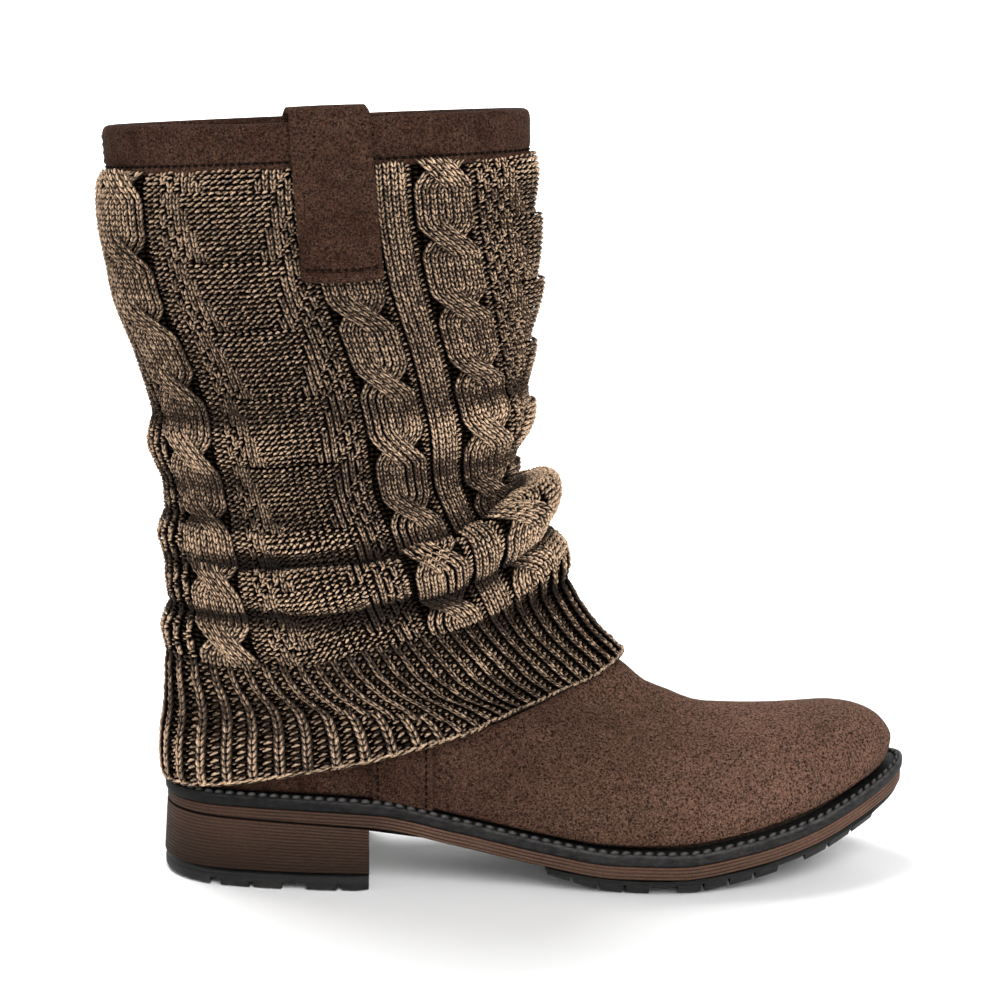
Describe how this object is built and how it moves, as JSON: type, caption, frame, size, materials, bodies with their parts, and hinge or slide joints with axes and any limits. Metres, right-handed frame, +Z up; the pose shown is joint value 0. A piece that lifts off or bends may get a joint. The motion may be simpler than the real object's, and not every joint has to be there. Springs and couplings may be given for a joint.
{
  "type": "mid-calf boot",
  "caption": "Right pull-on mid-calf boot: suede-look foot, slouched cable-knit sleeve over the shaft, collar band, outer pull strap, low block heel and lugged tread.",
  "frame": {"origin": "middle of the heel's rest on the floor, 38 mm in front of the sole's back end", "axes": "+X from the heel to the toe, +Y to the wearer's left, which is the boot's inner side, +Z up out of the collar"},
  "size_m": [0.2994, 0.0969, 0.2829],
  "materials": {
    "suede": "speckled brown napped suede look, matte",
    "yarn": "chunky marled brown and tan yarn",
    "sock": "brown textile sock over board",
    "welt": "near black, worn, stitched",
    "midsole": "dark brown, satin",
    "tread": "near black, matte, dusty"
  },
  "bodies": {
    "root": {"upper": "suede", "insole": "sock", "welt": "welt", "midsole": "midsole", "heel_block": "midsole", "top_lift": "tread", "outsole": "tread", "side_strip": "suede", "knit_sleeve": "yarn", "collar_band": "suede", "pull_strap": "suede"}
  },
  "joints": []
}
